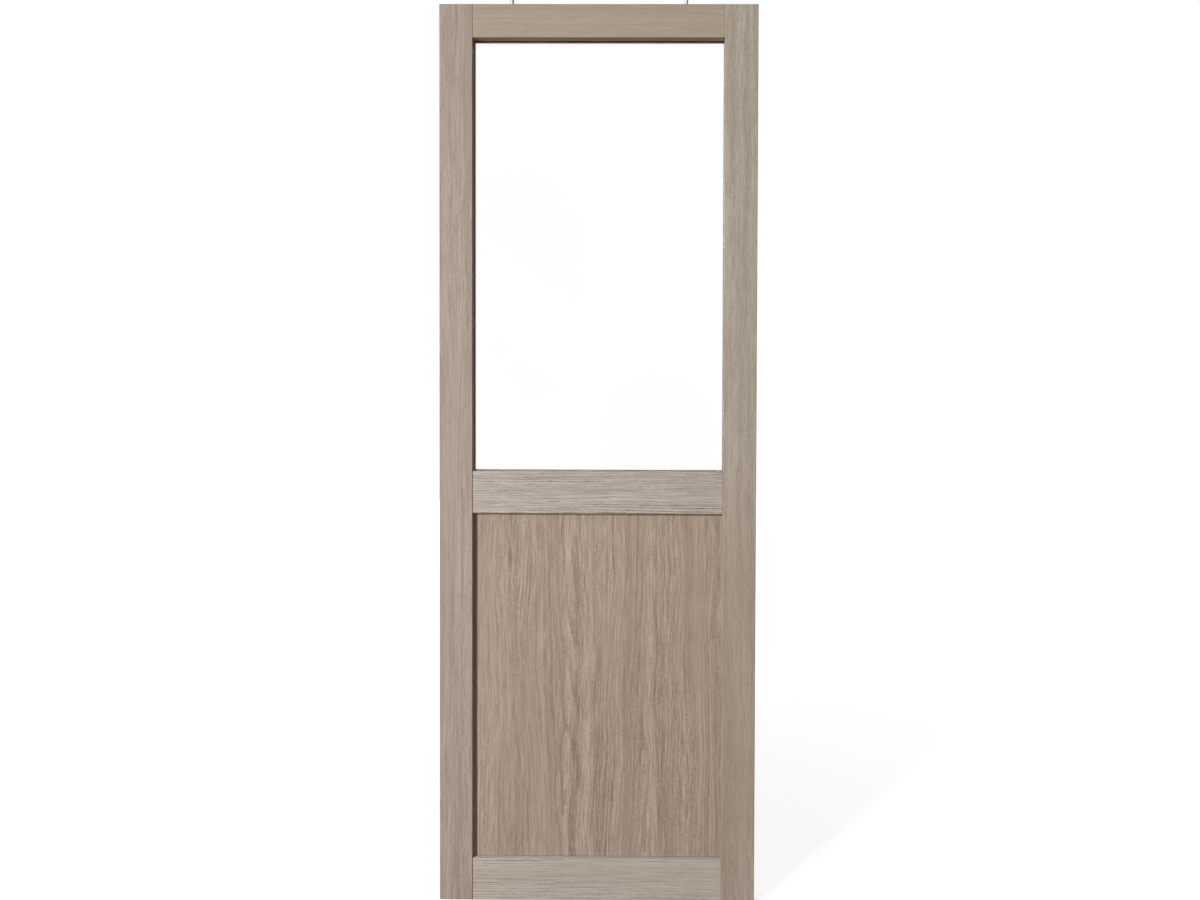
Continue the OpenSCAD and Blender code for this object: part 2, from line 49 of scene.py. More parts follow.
scene = bpy.context.scene
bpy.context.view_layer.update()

# %% [markdown]
# ## Where the leaf is
#
# The stiles run the full height of the leaf, so their two boxes give its outline. The camera, the lamps
# and the figure of the panel are all placed from the middle of this outline, and not from the middle of
# the whole object, because the track is twice as long as the leaf.

# %% Measure the leaf
leaf_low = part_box("left_stile")[0]
leaf_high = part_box("right_stile")[1]
leaf_middle = (leaf_low + leaf_high) / 2
leaf_face_y = leaf_low.y
print("leaf", [round(v, 4) for v in leaf_high - leaf_low])

# %% [markdown]
# ## Camera
#
# The picture was taken square to the door, a little right of its middle, at about chest height. The
# camera leaned forward by one degree, so the leaf narrows by a few pixels towards the floor. The dark
# inner sides of the glazed opening tell how far off it stood: the back edge of a 40 mm leaf looks two per
# cent smaller than its front edge from a little under two metres. The lens and the shift could be found
# by trying, but they follow from where the top and the bottom of the leaf lie in the picture.

# %% Place the camera
PICTURE_W = 1200
PICTURE_H = 900
LEAF_TOP_PX = 3.8
LEAF_BOTTOM_PX = 900.6
LEAF_MIDDLE_PX = 597.7
CAMERA_DISTANCE = 1.9
CAMERA_RIGHT = 0.13
CAMERA_HEIGHT = 1.22
LEVEL_VIEW = math.radians(90)
CAMERA_PITCH = math.radians(-0.94)
CAMERA_ROLL = math.radians(-0.19)
CAMERA_TURN = math.radians(0.4)
SENSOR_MM = 36.0

eye = Vector((leaf_middle.x + CAMERA_RIGHT, leaf_face_y - CAMERA_DISTANCE, CAMERA_HEIGHT))
aim = Euler((LEVEL_VIEW + CAMERA_PITCH, CAMERA_ROLL, CAMERA_TURN), "XYZ")


def seen_slope(x, z):
    """Slope of the ray to a point of the leaf's face, to the right and up, as the camera sees it."""
    ray = aim.to_matrix().inverted() @ (Vector((x, leaf_face_y, z)) - eye)
    return ray.x / -ray.z, ray.y / -ray.z


top_slope = seen_slope(leaf_middle.x, leaf_high.z)[1]
bottom_slope = seen_slope(leaf_middle.x, leaf_low.z)[1]
side_slope = seen_slope(leaf_middle.x, leaf_middle.z)[0]
focal_px = (LEAF_BOTTOM_PX - LEAF_TOP_PX) / (top_slope - bottom_slope)

camera_data = bpy.data.cameras.new("camera")
camera_data.sensor_width = SENSOR_MM
camera_data.lens = focal_px * SENSOR_MM / PICTURE_W
camera_data.shift_x = (PICTURE_W / 2 + focal_px * side_slope - LEAF_MIDDLE_PX) / PICTURE_W
camera_data.shift_y = (LEAF_TOP_PX - PICTURE_H / 2 + focal_px * top_slope) / PICTURE_W
camera = bpy.data.objects.new("camera", camera_data)
camera.location = eye
camera.rotation_euler = aim
scene.collection.objects.link(camera)
scene.camera = camera
print("lens", round(camera_data.lens, 2))
print("shift", round(camera_data.shift_x, 4), round(camera_data.shift_y, 4))

# %% [markdown]
# ## Helpers for materials
#
# Colours are written as sRGB hex values, as a paint chart gives them, and one function turns them into
# the linear values that a shader wants. A second small function adds a node, sets it and links it, so
# that each material below reads as a short recipe. An input may be given a number, a colour, a socket or
# a whole node, which stands for its first output in use.

# %% Helpers
def linear(hex_colour):
    """Linear RGBA of an sRGB hex colour, by the curve of the sRGB standard."""
    parts = [int(hex_colour[i:i + 2], 16) / 255 for i in (1, 3, 5)]
    return (*[c / 12.92 if c <= 0.04045 else ((c + 0.055) / 1.055) ** 2.4 for c in parts], 1.0)


def add(tree, kind, inputs=(), **settings):
    """Adds a node, sets its properties, then links or sets its inputs, in order or by name or number."""
    made = tree.nodes.new(kind)
    for key, value in settings.items():
        setattr(made, key, value)
    for key, value in inputs.items() if isinstance(inputs, dict) else enumerate(inputs):
        if isinstance(value, bpy.types.Node):
            value = next(socket for socket in value.outputs if socket.enabled)
        if isinstance(value, bpy.types.NodeSocket):
            tree.links.new(value, made.inputs[key])
        else:
            made.inputs[key].default_value = value
    return made


def new_material(name):
    """A material with an empty tree, ready for a recipe."""
    material = bpy.data.materials.new(name)
    material.use_nodes = True
    material.node_tree.nodes.clear()
    return material, material.node_tree


def end_material(tree, inputs):
    """Ends a recipe with a principled shader and the material's output."""
    shader = add(tree, "ShaderNodeBsdfPrincipled", inputs)
    add(tree, "ShaderNodeOutputMaterial", {"Surface": shader})


def dress(material, *names):
    """Gives a finish to CAD nodes."""
    for name in names:
        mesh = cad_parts[name].data
        mesh.materials.clear()
        mesh.materials.append(material)
    print(material.name, "on", ", ".join(names))


print("mid grey #808080 is", round(linear("#808080")[0], 3), "of white in linear light")

# %% [markdown]
# ## Grain
#
# Wood is made of fibres that run along the trunk, so every pattern on it is far longer than it is wide. Here
# each layer is a noise pattern drawn out along the grain. A picture of wood could be laid on every face
# instead, but a pattern in space needs no unwrapping and runs on round the edges, as real grain does. A slow
# sway bends the pattern a little, because no tree grows quite straight.
#
# A layer is given by four numbers: its width across the grain and its length along it, both in millimetres,
# its detail, and a number that is added to the board's own seed, so that no two layers agree.

# %% Patterns along the grain
UPRIGHT = (0, 0, 0)
LEVEL = (0, math.radians(90), 0)
SEED_STEPS = (1.0, 1.7, 2.3)
NOISE_ROUGHNESS = 0.6
NOISE_SPAN = (0.25, 0.75)
SWAY = (70, 300, 1.0, 0)


def drawn_out_noise(tree, coords, layer, seed=0.0):
    """A layer of noise, narrow across the grain and long along it."""
    wide_mm, long_mm, detail, own_seed = layer
    across, along = 1 / (wide_mm * MM), 1 / (long_mm * MM)
    placed = add(tree, "ShaderNodeMapping", {
        "Vector": coords,
        "Location": tuple((seed + own_seed) * step for step in SEED_STEPS),
        "Scale": (across, across, along),
    })
    return add(tree, "ShaderNodeTexNoise", {
        "Vector": placed, "Scale": 1.0, "Detail": detail, "Roughness": NOISE_ROUGHNESS,
    })


def along_grain(tree, turn, seed, reach):
    """Object coordinates turned so that the grain runs along Z, with a slow sway across it."""
    place = add(tree, "ShaderNodeTexCoord").outputs["Object"]
    turned = add(tree, "ShaderNodeMapping", {"Vector": place, "Rotation": turn})
    sway = drawn_out_noise(tree, turned, SWAY, seed)
    aside = add(tree, "ShaderNodeMapRange", (sway, *NOISE_SPAN, -reach, reach))
    offset = add(tree, "ShaderNodeCombineXYZ", {"X": aside})
    return add(tree, "ShaderNodeVectorMath", (turned, offset), operation="ADD")


def weighted(tree, *terms):
    """Sum of patterns, each times its weight."""
    total = 0.0
    for value, weight in terms:
        total = add(tree, "ShaderNodeMath", (value, weight, total), operation="MULTIPLY_ADD")
    return total


print("the grain sways once in about", SWAY[1], "mm")

# %% [markdown]
# ## Lines of late wood
#
# Each year a tree adds pale wood and then a thin dark line of late wood. On the stiles and the top rail these
# lines are fine and faint, so the dark side of a drawn-out noise is enough. On the other two rails they stand
# wider apart and more even, so there they are counted out: one line for every step of a distance across the
# board. A drift changes the spacing, a fray roughens each line, and patches let it fade, because perfectly
# even lines look printed.

# %% Late wood
LINES = (2.4, 300, 2.0, 5)
LINE_SPAN = (0.46, 0.3)
DRIFT = (34, 1600, 2.0, 4)
DRIFT_RINGS = 3.6
FRAY = (2.4, 28, 2.0, 8)
FRAY_RINGS = 0.9
LATE_RISE = (0.5, 0.93)
LATE_FALL = (1.0, 0.94)
PATCHES = (26, 700, 2.0, 6)
PATCH_SPAN = (0.35, 0.65)
PATCH_STRENGTH = (0.15, 1.0)
RAIL_RING = 5.5 * MM


def straight_lines(tree, grain, seed):
    """Thin dark lines of late wood that run the length of a board."""
    lines = drawn_out_noise(tree, grain, LINES, seed)
    return add(tree, "ShaderNodeMapRange", (lines, *LINE_SPAN))


def late_wood(tree, grain, seed, distance, spacing):
    """Late wood of the growth rings: a dark line each time the distance grows by the spacing."""
    drift = drawn_out_noise(tree, grain, DRIFT, seed)
    fray = drawn_out_noise(tree, grain, FRAY, seed)
    years = weighted(tree, (distance, 1 / spacing), (drift, DRIFT_RINGS), (fray, FRAY_RINGS))
    season = add(tree, "ShaderNodeMath", (years,), operation="FRACT")
    rise = add(tree, "ShaderNodeMapRange", (season, *LATE_RISE))
    fall = add(tree, "ShaderNodeMapRange", (season, *LATE_FALL))
    late = add(tree, "ShaderNodeMath", (rise, fall), operation="MULTIPLY")
    patches = drawn_out_noise(tree, grain, PATCHES, seed)
    strength = add(tree, "ShaderNodeMapRange", (patches, *PATCH_SPAN, *PATCH_STRENGTH))
    return add(tree, "ShaderNodeMath", (late, strength), operation="MULTIPLY")


def rail_lines(tree, grain, seed):
    """Rings cut on the quarter, which run side by side along a rail."""
    across = add(tree, "ShaderNodeSeparateXYZ", (grain,)).outputs["X"]
    return late_wood(tree, grain, seed, across, RAIL_RING)


print("rings on the rails about every", RAIL_RING / MM, "mm")

# %% [markdown]
# ## Oak, planed and left bare
#
# Bare oak is pale and matt. Planing cuts its coarse pores into short dark dashes, and bands of paler and
# darker growth run through it. The recipe lays these over each other from broad to fine, each one as a tone
# that partly covers what is under it. Real pores are 0.3 mm wide and fibres are finer still, too fine for the
# picture, so both are drawn about 2 mm wide. The fibres also vary the roughness, and with the pores they give
# a slight relief.

# %% The recipe for oak
FIBRE = (2.0, 60, 2.0, 3)
BANDS = (20, 1100, 2.0, 7)
TONE = (80, 600, 1.0, 11)
PORES = (2.2, 9, 2.0, 17)
FIBRE_WEIGHT = 0.45
BAND_WEIGHT = 0.28
DASH_WEIGHT = 0.4
FIGURE_SPAN = (0.465, 0.665)
WARM_SPAN = (0.42, 0.7)
WARM_MOST = 0.5
PORE_SPAN = (0.56, 0.72)
PORE_SHARE = 0.4
NOISE_CORE = (0.3, 0.7)
OAK_ROUGHNESS = (0.72, 0.88)
OAK_SHINE = 0.08
FIBRE_HEIGHT = 0.6
PORE_HEIGHT = -0.4
OAK_RELIEF = 0.3 * MM
OAK_RELIEF_SHARE = 0.2
# Inputs of a Mix node for colours, which share their names with those for numbers and vectors.
MIX_SHARE, MIX_UNDER, MIX_OVER = 0, 6, 7


def bare_oak(name, turn, seed, colours, lines_of, line_share, sway):
    """Planed oak: colours are those of the pale bands, the dark bands, the warm patches and the lines."""
    pale, dark, warm, line = [linear(c) for c in colours]
    material, tree = new_material(name)
    grain = along_grain(tree, turn, seed, sway)
    fibre = drawn_out_noise(tree, grain, FIBRE, seed)
    bands = drawn_out_noise(tree, grain, BANDS, seed)
    tone = drawn_out_noise(tree, grain, TONE, seed)
    dashes = drawn_out_noise(tree, grain, PORES, seed)
    growth = weighted(tree, (fibre, FIBRE_WEIGHT), (bands, BAND_WEIGHT), (dashes, DASH_WEIGHT))
    figure = add(tree, "ShaderNodeMapRange", (growth, *FIGURE_SPAN))
    warmth = add(tree, "ShaderNodeMapRange", (tone, *WARM_SPAN, 0.0, WARM_MOST))
    pores = add(tree, "ShaderNodeMapRange", (dashes, *PORE_SPAN))
    lines = lines_of(tree, grain, seed)
    drawn_lines = add(tree, "ShaderNodeMath", (lines, line_share), operation="MULTIPLY")
    drawn_pores = add(tree, "ShaderNodeMath", (pores, PORE_SHARE), operation="MULTIPLY")
    wood = dark
    for share, over in ((figure, pale), (warmth, warm), (drawn_lines, line), (drawn_pores, line)):
        layered = {MIX_SHARE: share, MIX_UNDER: wood, MIX_OVER: over}
        wood = add(tree, "ShaderNodeMix", layered, data_type="RGBA")
    height = weighted(tree, (fibre, FIBRE_HEIGHT), (pores, PORE_HEIGHT))
    end_material(tree, {
        "Base Color": wood,
        "Roughness": add(tree, "ShaderNodeMapRange", (fibre, *NOISE_CORE, *OAK_ROUGHNESS)),
        "Specular IOR Level": OAK_SHINE,
        "Normal": add(tree, "ShaderNodeBump", {
            "Height": height, "Strength": OAK_RELIEF_SHARE, "Distance": OAK_RELIEF,
        }),
    })
    return material


print("pores about", PORES[:2], "mm, fibres about", FIBRE[:2], "mm")

# %% [markdown]
# ## The boards of the frame
#
# A joiner picks boards that go together, but each one still has its own tone and figure: the left stile is a
# little pinker than the right one, and the two lower rails are the palest and greyest. The right stile is
# also painted a little paler than its own tone, as painted light that makes up for the lamps falling off
# towards the right. So each board gets the same recipe with its own seed and colours, and a row of a table is
# enough for that. The dowels, which nobody sees, are of beech rod: paler, yellower and almost without lines.

# %% Boards
LEFT_COLOURS = ("#B5AAA0", "#94887F", "#A89990", "#766A60")
# The right stile's colours are painted a little paler, as painted light for the lamps falling off towards the
# right.
RIGHT_COLOURS = ("#BEB6AB", "#9D9489", "#9A8774", "#7E756A")
TOP_COLOURS = ("#AEA496", "#A09587", "#ADA090", "#8B806F")
MID_COLOURS = ("#C9C3BD", "#A49D96", "#B4AA9F", "#756B62")
BOTTOM_COLOURS = ("#C8C0B8", "#A79F96", "#BAAFA4", "#857B72")
BEAD_COLOURS = ("#B5A592", "#98876F", "#AE9A88", "#7D6B56")
BEECH_COLOURS = ("#D4B78F", "#BE976A", "#CBAA80", "#A67F55")
CALM = 4 * MM
RAIL_SWAY = 5 * MM
STILE_SWAY = 7 * MM

# To the eye these are calm, pale, matt boards, with fine streaks on the stiles and clear lines on the rails.
# Each row: material, way of the grain, seed, colours, lines, their share, sway, and the nodes of that board.
BOARDS = (
    ("bare_oak_left_stile", UPRIGHT, 2.0, LEFT_COLOURS, straight_lines, 0.4, STILE_SWAY, ["left_stile"]),
    ("bare_oak_right_stile", UPRIGHT, 4.0, RIGHT_COLOURS, straight_lines, 0.4, STILE_SWAY, ["right_stile"]),
    ("bare_oak_top_rail", LEVEL, 5.0, TOP_COLOURS, straight_lines, 0.25, CALM, ["top_rail"]),
    ("bare_oak_mid_rail", LEVEL, 9.0, MID_COLOURS, rail_lines, 1.0, RAIL_SWAY, ["mid_rail"]),
    ("bare_oak_bottom_rail", LEVEL, 12.0, BOTTOM_COLOURS, rail_lines, 0.75, CALM, ["bottom_rail"]),
    ("bare_oak_side_beads", UPRIGHT, 14.0, BEAD_COLOURS, straight_lines, 0.5, CALM,
     ["left_bead", "right_bead"]),
    ("bare_oak_level_beads", LEVEL, 15.0, BEAD_COLOURS, straight_lines, 0.5, CALM,
     ["top_bead", "bottom_bead"]),
    ("beech_dowel_rod", LEVEL, 31.0, BEECH_COLOURS, straight_lines, 0.2, CALM, ["rail_dowels"]),
)
for *recipe, nodes in BOARDS:
    dress(bare_oak(*recipe), *nodes)

# %% [markdown]
# ## Crown-cut veneer for the panel
#
# The panel's face is veneer sliced through the side of a log. A slice that passes near the middle of the
# log cuts the growth rings into tall pointed arches, and further out the same rings run almost straight.
# So the figure is worked out the way the log makes it: each point of the sheet has a distance from the
# pith, which leans and wanders along the sheet, and the rings are steps of that distance. The rest is the
# recipe for oak, with more sway, which lets the lines flow.

# %% Veneer
PITH_X = leaf_middle.x - 48 * MM
PITH_DEPTH = 70 * MM
PITH_LEAN = -0.06
WANDER = (120, 700, 2.0, 1)
WANDER_REACH = 7 * MM
RING = 9.5 * MM
PANEL_SEED = 21.0
PANEL_COLOURS = ("#BFB0A2", "#8D7F72", "#A89589", "#655446")
PANEL_LINE_SHARE = 0.46
PANEL_SWAY = 9 * MM


def crown_lines(tree, grain, seed):
    """Late wood of the growth rings round a wandering pith."""
    place = add(tree, "ShaderNodeSeparateXYZ", (grain,)).outputs
    across = add(tree, "ShaderNodeMath", (place["X"], PITH_X), operation="SUBTRACT")
    across_squared = add(tree, "ShaderNodeMath", (across, across), operation="MULTIPLY")
    wander = drawn_out_noise(tree, grain, WANDER, seed)
    aside = add(tree, "ShaderNodeMapRange", (wander, *NOISE_SPAN, -WANDER_REACH, WANDER_REACH))
    leaning = add(tree, "ShaderNodeMath", (place["Z"], PITH_LEAN, PITH_DEPTH), operation="MULTIPLY_ADD")
    depth = add(tree, "ShaderNodeMath", (leaning, aside), operation="ADD")
    squares = add(tree, "ShaderNodeMath", (depth, depth, across_squared), operation="MULTIPLY_ADD")
    from_pith = add(tree, "ShaderNodeMath", (squares,), operation="SQRT")
    return late_wood(tree, grain, seed, from_pith, RING)


# The veneer looks livelier and a little warmer than the solid boards round it.
veneer = bare_oak(
    "crown_cut_oak_veneer", UPRIGHT, PANEL_SEED, PANEL_COLOURS, crown_lines, PANEL_LINE_SHARE, PANEL_SWAY
)
dress(veneer, "lower_panel")

# %% [markdown]
# ## Painted shade in fine gaps
#
# The shoulder at the left end of each rail stands a hair off the stile, and the light from the left leaves
# that gap in shade. So does the groove in the bottom rail where the panel goes in. Such a gap could be
# modelled, but it is far thinner than a pixel. So its shade is painted instead: a thin line along the edge of
# the piece is painted dark, as wide as it needs to be to show.

# %% Painted shade in the gaps
# Colour of the painted shade that stands for the shade in the gaps.
PAINTED_GAP_SHADE = "#3A3028"

# Each row: node, axis across the gap, where the gap starts, and the width of its painted shade in
# millimetres.
GAP_SHADE_LINES = (
    ("top_rail", "X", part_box("top_rail")[0].x, 0.4),
    ("mid_rail", "X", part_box("mid_rail")[0].x, 0.9),
    ("bottom_rail", "X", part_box("bottom_rail")[0].x, 0.9),
    ("lower_panel", "Z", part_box("bottom_rail")[1].z, 0.5),
)


def paint_gap_shade(node, axis, edge, width_mm):
    """Paints shade into a node's finish up to a small width past an edge that lies across an axis."""
    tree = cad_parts[node].data.materials[0].node_tree
    shader = next(n for n in tree.nodes if n.type == "BSDF_PRINCIPLED")
    wood = shader.inputs["Base Color"].links[0].from_socket
    place = add(tree, "ShaderNodeTexCoord").outputs["Object"]
    along = add(tree, "ShaderNodeSeparateXYZ", (place,)).outputs[axis]
    # Mask of the painted shade: the strip within the width past the edge.
    gap = add(tree, "ShaderNodeMath", (along, edge + width_mm * MM), operation="LESS_THAN")
    layered = {MIX_SHARE: gap, MIX_UNDER: wood, MIX_OVER: linear(PAINTED_GAP_SHADE)}
    gap_shaded_wood = add(tree, "ShaderNodeMix", layered, data_type="RGBA")
    tree.links.new(gap_shaded_wood.outputs["Result"], shader.inputs["Base Color"])
    print("gap on", node, "at", axis, round(edge, 4))


for gap in GAP_SHADE_LINES:
    paint_gap_shade(*gap)

# %% [markdown]
# ## Glass
#
# The pane is clear float glass, cast flat on molten tin, so it has no roughness at all. Its colour is white
# with a trace of the green that iron leaves in glass, which comes and goes over the pane. The pane could be
# left out of the picture, but then its reflections would be missing from the side.

# %% Clear glass
GLASS_IOR = 1.5
IRON = (300, 300, 1.0, 4)
IRON_TINT = "#FDFFFE"
NO_TINT = "#FFFFFF"

# Clear glass lets the eye through and shows itself only by its reflections.
glass, tree = new_material("clear_float_glass")
place = add(tree, "ShaderNodeTexCoord").outputs["Object"]
iron = drawn_out_noise(tree, place, IRON)
clearness = add(tree, "ShaderNodeMapRange", (iron, *NOISE_CORE))
layered = {MIX_SHARE: clearness, MIX_UNDER: linear(IRON_TINT), MIX_OVER: linear(NO_TINT)}
end_material(tree, {
    "Base Color": add(tree, "ShaderNodeMix", layered, data_type="RGBA"),
    "Transmission Weight": 1.0,
    "Roughness": 0.0,
    "IOR": GLASS_IOR,
})
dress(glass, "glass_pane")

# %% [markdown]
# ## Metal, nylon, foam and rubber
#
# What these finishes share is a fine pattern that their making leaves: lines from the extrusion die, clouds
# from the plating bath, the spark-eroded texture of a mould, the cells of foam. One recipe takes a pattern of
# the right size and lets it vary the colour and the roughness and give a slight relief. A plain colour would
# be simpler, but it looks like paint. Die lines, the grit of a mould and the cells of foam are finer than a
# pixel, so they are drawn about 1 mm wide.

# %% Worked surfaces
CLOUD = (6, 6, 3.0, 3)
MOULD = (1.2, 1.2, 3.0, 3)
CELLS = (0.9, 0.9, 3.0, 3)
EXTRUSION = (0.9, 400, 3.0, 3)
GRIT_SPAN = (0.35, 0.6)
RELIEF_SHARE = 0.3


def worked_surface(name, colour, shade, layer, metallic, rough, relief_mm, turn=UPRIGHT):
    """A surface whose colour and roughness vary over a fine pattern, as its making leaves it."""
    material, tree = new_material(name)
    place = add(tree, "ShaderNodeTexCoord").outputs["Object"]
    turned = add(tree, "ShaderNodeMapping", {"Vector": place, "Rotation": turn})
    grit = drawn_out_noise(tree, turned, layer)
    share = add(tree, "ShaderNodeMapRange", (grit, *GRIT_SPAN))
    layered = {MIX_SHARE: share, MIX_UNDER: linear(shade), MIX_OVER: linear(colour)}
    end_material(tree, {
        "Base Color": add(tree, "ShaderNodeMix", layered, data_type="RGBA"),
        "Roughness": add(tree, "ShaderNodeMapRange", (grit, *NOISE_CORE, *rough)),
        "Metallic": metallic,
        "Normal": add(tree, "ShaderNodeBump", {
            "Height": grit, "Strength": RELIEF_SHARE, "Distance": relief_mm * MM,
        }),
    })
    return material


# Zinc plating gives steel a cool, cloudy shine.
zinc = worked_surface(
    "zinc_plated_steel", "#B4B8BC", "#8F949A", CLOUD, metallic=1.0, rough=(0.24, 0.42), relief_mm=0.02
)
dress(zinc, "left_hanger_plate", "right_hanger_plate", "left_hanger_bolt", "right_hanger_bolt")
dress(zinc, "hanger_screws", "hanger_lock_nuts", "trolley_axles", "left_stop", "right_stop", "stop_screws")

# Satin anodising leaves aluminium a soft pale sheen, with faint lines along the extrusion.
anodised = worked_surface(
    "satin_anodised_aluminium", "#A9ACAF", "#989C9F", EXTRUSION,
    metallic=1.0, rough=(0.55, 0.66), relief_mm=0.02, turn=LEVEL,
)
dress(anodised, "track")

# Moulded nylon is half matt: near black on the trolleys and the guide, and milky white on the wheels.
nylon = worked_surface(
    "black_moulded_nylon", "#323335", "#27282A", MOULD, metallic=0.0, rough=(0.45, 0.62), relief_mm=0.05
)
dress(nylon, "left_trolley", "right_trolley", "floor_guide")
wheel_nylon = worked_surface(
    "white_moulded_nylon", "#E6E4DD", "#D9D6CC", MOULD, metallic=0.0, rough=(0.36, 0.5), relief_mm=0.04
)
dress(wheel_nylon, "left_outer_wheels", "left_inner_wheels", "right_inner_wheels", "right_outer_wheels")

# Buffer rubber is black and dull, and foam tape is a brown that hardly shines at all.
rubber = worked_surface(
    "black_buffer_rubber", "#242425", "#19191A", MOULD, metallic=0.0, rough=(0.7, 0.85), relief_mm=0.06
)
dress(rubber, "stop_buffers")
foam = worked_surface(
    "brown_foam_tape", "#5A4A3B", "#46392D", CELLS, metallic=0.0, rough=(0.82, 0.95), relief_mm=0.15
)
dress(foam, "front_glazing_tape", "back_glazing_tape", "setting_blocks")

# %% [markdown]
# ## Things that repeat
#
# Two small things repeat on this door: the panel pins that hold the glazing beads on the back, and the
# turns of thread on the hanger bolts. Each could be copied in a loop, but Geometry Nodes suit both better,
# because one pin or one turn is described once, and the spacing or the pitch does the rest. Each tree has
# named inputs, is run once on an empty mesh, and its result is kept as a plain mesh that rides on the leaf.

# %% A tree, its inputs and its result
def new_tree(name, inputs):
    """A geometry tree with named inputs and one geometry output."""
    tree = bpy.data.node_groups.new(name, "GeometryNodeTree")
    sockets = {}
    for label, kind in inputs.items():
        sockets[label] = tree.interface.new_socket(label, in_out="INPUT", socket_type=kind)
    tree.interface.new_socket("Geometry", in_out="OUTPUT", socket_type="NodeSocketGeometry")
    print("tree", name, "takes", ", ".join(sockets))
    return tree, sockets, tree.nodes.new("NodeGroupInput").outputs


def end_tree(tree, geometry, material):
    """Realizes the instances, sets the material and closes the tree."""
    solid = add(tree, "GeometryNodeRealizeInstances", {"Geometry": geometry})
    coated = add(tree, "GeometryNodeSetMaterial", {"Geometry": solid, "Material": material})
    add(tree, "NodeGroupOutput", {"Geometry": coated})


def bake(tree, sockets, values):
    """Runs a tree once and keeps its result as a plain mesh that rides on the leaf."""
    carrier = bpy.data.objects.new(tree.name, bpy.data.meshes.new(tree.name))
    scene.collection.objects.link(carrier)
    modifier = carrier.modifiers.new(tree.name, "NODES")
    modifier.node_group = tree
    for label, value in values.items():
        modifier[sockets[label].identifier] = value
    shown = carrier.evaluated_get(bpy.context.evaluated_depsgraph_get())
    mesh = bpy.data.meshes.new_from_object(shown)
    carrier.modifiers.clear()
    carrier.data = mesh
    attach(carrier, "leaf_body")
    print(tree.name, len(mesh.polygons), "faces")


print(len(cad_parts), "nodes so far, all from the frame")

# %% [markdown]
# ### Panel pins
#
# A joiner fixes a glazing bead with pins about 165 mm apart and keeps them out of the mitres, where they
# would split the wood. So the path is a rectangle along the flat of the four beads, cut into equal steps,
# and the steps that fall on a corner get no pin.

# %% Pins along the beads
PIN_HEAD = 1.1 * MM
PIN_SIDES = 16
PIN_PROUD = 0.15 * MM
PIN_DEEP = 1.5 * MM
PIN_STEP = 165 * MM
PIN_FROM_EDGE = 3.5 * MM
PIN_FROM_CORNER = 20 * MM
STAND_UP = (math.radians(90), 0, 0)

tree, sockets, given = new_tree("bead_pins", {
    "Width": "NodeSocketFloat", "Height": "NodeSocketFloat", "Step": "NodeSocketFloat",
    "Head Radius": "NodeSocketFloat", "Length": "NodeSocketFloat", "Middle": "NodeSocketVector",
})
path = add(tree, "GeometryNodeCurvePrimitiveQuadrilateral", {
    "Width": given["Width"], "Height": given["Height"],
})
steps = add(tree, "GeometryNodeResampleCurve", {"Curve": path, "Length": given["Step"]}, mode="LENGTH")
place = add(tree, "ShaderNodeSeparateXYZ", (add(tree, "GeometryNodeInputPosition"),)).outputs
half_width = add(tree, "ShaderNodeMath", (given["Width"], 0.5), operation="MULTIPLY")
half_height = add(tree, "ShaderNodeMath", (given["Height"], 0.5), operation="MULTIPLY")
from_middle = add(tree, "ShaderNodeMath", (place["X"],), operation="ABSOLUTE")
from_centre = add(tree, "ShaderNodeMath", (place["Y"],), operation="ABSOLUTE")
off_side = add(tree, "ShaderNodeMath", (half_width, from_middle), operation="SUBTRACT")
off_end = add(tree, "ShaderNodeMath", (half_height, from_centre), operation="SUBTRACT")
from_corner = add(tree, "ShaderNodeMath", (off_side, off_end), operation="MAXIMUM")
clear = add(tree, "ShaderNodeMath", (from_corner, PIN_FROM_CORNER), operation="GREATER_THAN")
pin = add(tree, "GeometryNodeMeshCylinder", {
    "Vertices": PIN_SIDES, "Radius": given["Head Radius"], "Depth": given["Length"],
})
pins = add(tree, "GeometryNodeInstanceOnPoints", {"Points": steps, "Selection": clear, "Instance": pin})
upright = add(tree, "GeometryNodeTransform", {
    "Geometry": pins, "Translation": given["Middle"], "Rotation": STAND_UP,
})
end_tree(tree, upright, zinc)

bead_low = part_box("bottom_bead")[0]
bead_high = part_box("top_bead")[1]
bead_middle = (bead_low + bead_high) / 2
bake(tree, sockets, {
    "Width": bead_high.x - bead_low.x - 2 * PIN_FROM_EDGE,
    "Height": bead_high.z - bead_low.z - 2 * PIN_FROM_EDGE,
    "Step": PIN_STEP,
    "Head Radius": PIN_HEAD,
    "Length": PIN_DEEP,
    "Middle": (bead_middle.x, bead_high.y + PIN_PROUD - PIN_DEEP / 2, bead_middle.z),
})

# %% [markdown]
# ### Thread on the hanger bolts
#
# An M8 bolt climbs 1.25 mm each turn. Its thread is a spiral path with a small ridge drawn along it, set
# round the plain shank from the lock nut up to the trolley. The spiral and the ridge are made once, and two
# points, one at each bolt, carry a copy.

# %% Thread turns
SHANK_RADIUS = 4 * MM
THREAD_PITCH = 1.25 * MM
TURN_STEPS = 20
RIDGE = 0.34 * MM
RIDGE_SIDES = 4
RIDGE_SUNK = 0.1 * MM

